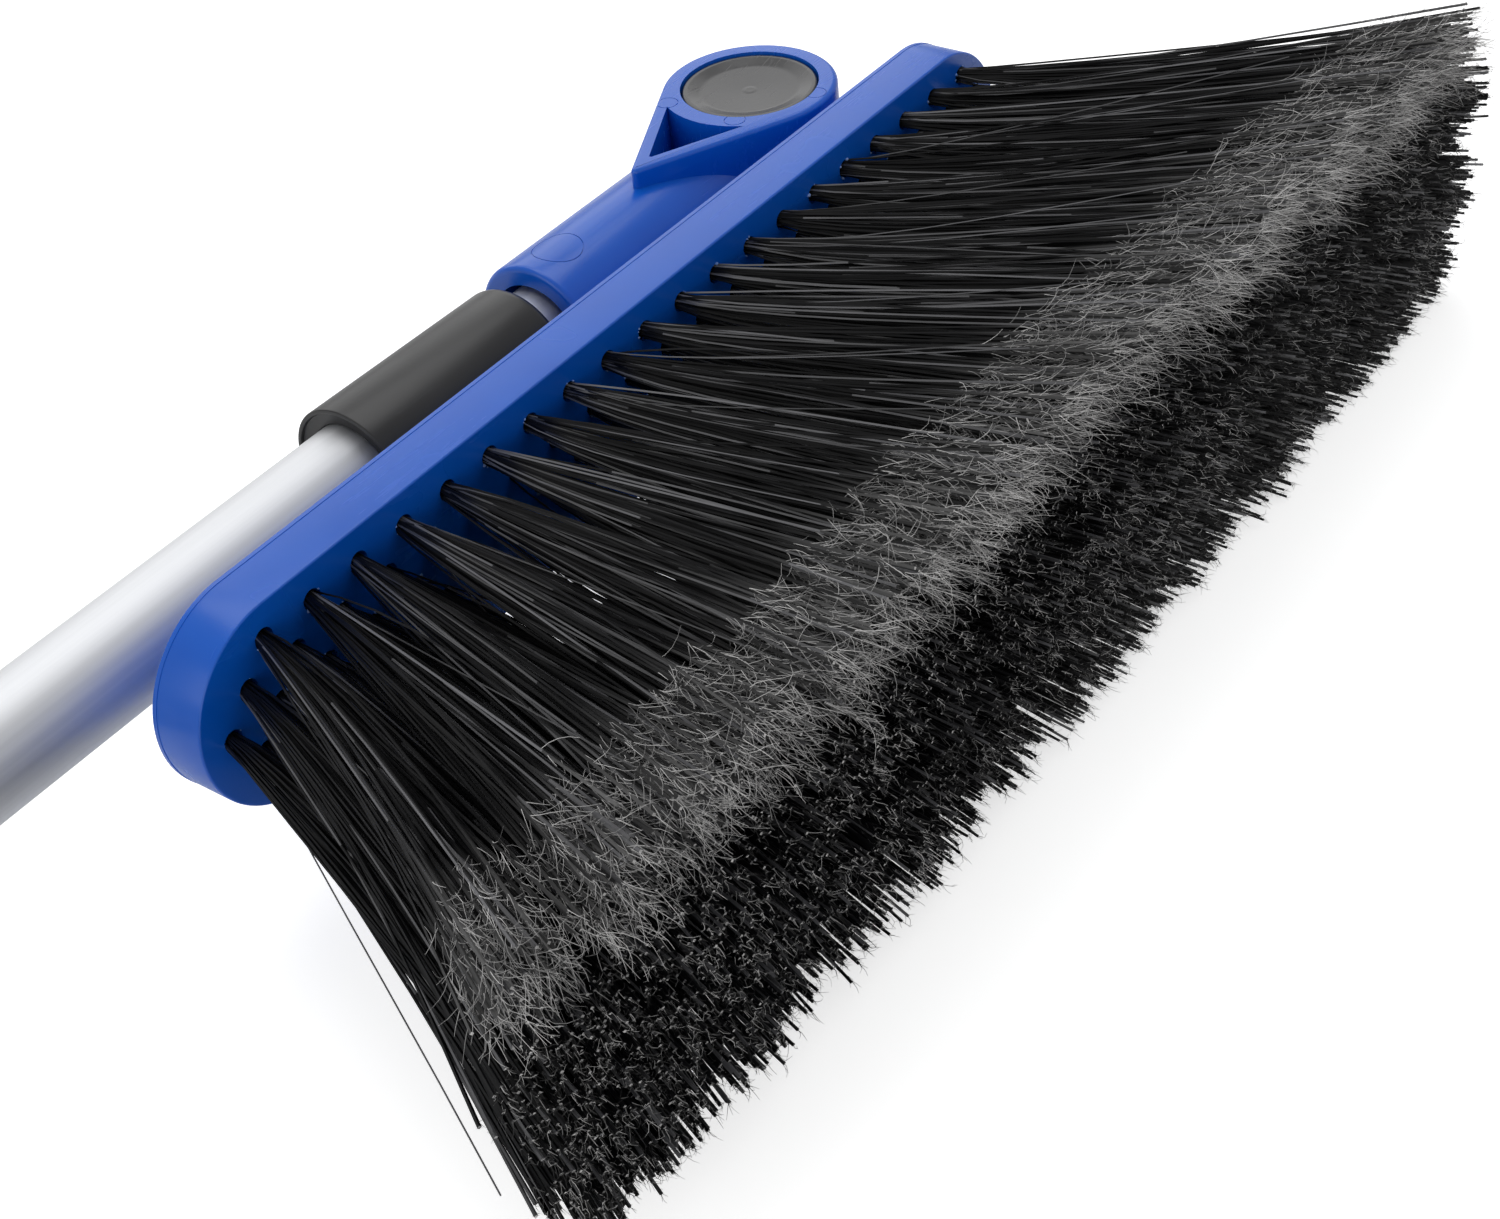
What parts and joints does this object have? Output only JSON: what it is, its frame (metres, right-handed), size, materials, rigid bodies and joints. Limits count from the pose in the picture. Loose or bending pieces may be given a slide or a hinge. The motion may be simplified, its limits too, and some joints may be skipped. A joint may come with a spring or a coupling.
{
  "type": "snow brush scraper",
  "caption": "Telescoping snow brush: long flared-bristle head on a push-button pivot, twist-lock aluminium pole, foam grip and ice scraper blade.",
  "frame": {"origin": "centre of the hanging hole in the scraper holder, at mid thickness, on the pole's axis", "axes": "+X along the pole from the scraper to the brush head, +Z along the hanging hole and the head's pivot, towards the button; the bristles point to -Y"},
  "size_m": [0.8763, 0.214, 0.0934],
  "materials": {
    "blue_plastic": "semi-gloss moulded",
    "black_plastic": "satin moulded",
    "charcoal_plastic": "satin moulded",
    "grey_plastic": "satin moulded",
    "clear_blade": "clear tinted, polished",
    "black_foam": "closed-cell foam",
    "aluminium_tube": "satin, drawn along its length",
    "zinc_gear": "as cast",
    "steel": "zinc plated",
    "black_bristle": "semi-gloss filaments with split grey tips on the outer row"
  },
  "bodies": {
    "handle": {"outer_tube": "aluminium_tube", "collar": "black_plastic", "collar_bush": "grey_plastic", "foam_grip": "black_foam", "scraper_holder": "blue_plastic", "holder_pin": "steel", "scraper_blade": "clear_blade", "blade_rivets": "steel"},
    "lock": {"lock_sleeve": "grey_plastic"},
    "pole": {"inner_tube": "aluminium_tube", "lock_plug": "black_plastic", "lock_washer": "steel", "lock_screw": "steel", "yoke": "blue_plastic", "yoke_rivet": "steel"},
    "head": {"pivot_bracket": "blue_plastic", "bracket_screws": "steel", "pivot_washer": "steel", "retaining_clip": "steel", "stop_washer": "steel", "stop_screw": "steel", "button_spring": "steel", "brush_block": "blue_plastic", "tuft_anchors": "steel", "tuft_row_1": "black_bristle", "tuft_row_2": "black_bristle", "tuft_row_3": "black_bristle", "tuft_row_4": "black_bristle", "tuft_row_5": "black_bristle"},
    "button": {"button_cap": "charcoal_plastic", "lock_gear": "zinc_gear"}
  },
  "joints": [
    {"name": "telescope", "type": "slide", "parent": "handle", "child": "lock", "axis": [1, 0, 0], "range_m": [0, 0.35]},
    {"name": "pole_twist", "type": "hinge", "parent": "lock", "child": "pole", "pos_m": [0.4, 0, 0], "axis": [1, 0, 0], "range_deg": [0, 90]},
    {"name": "head_pivot", "type": "hinge", "parent": "pole", "child": "head", "pos_m": [0.6584, 0, 0], "axis": [0, 0, 1], "range_deg": [0, 180]},
    {"name": "button_press", "type": "slide", "parent": "head", "child": "button", "axis": [0, 0, -1], "range_m": [0, 0.004], "stiffness_N_per_m": 900, "springref_m": -0.003, "deforming": ["button_spring"]}
  ]
}
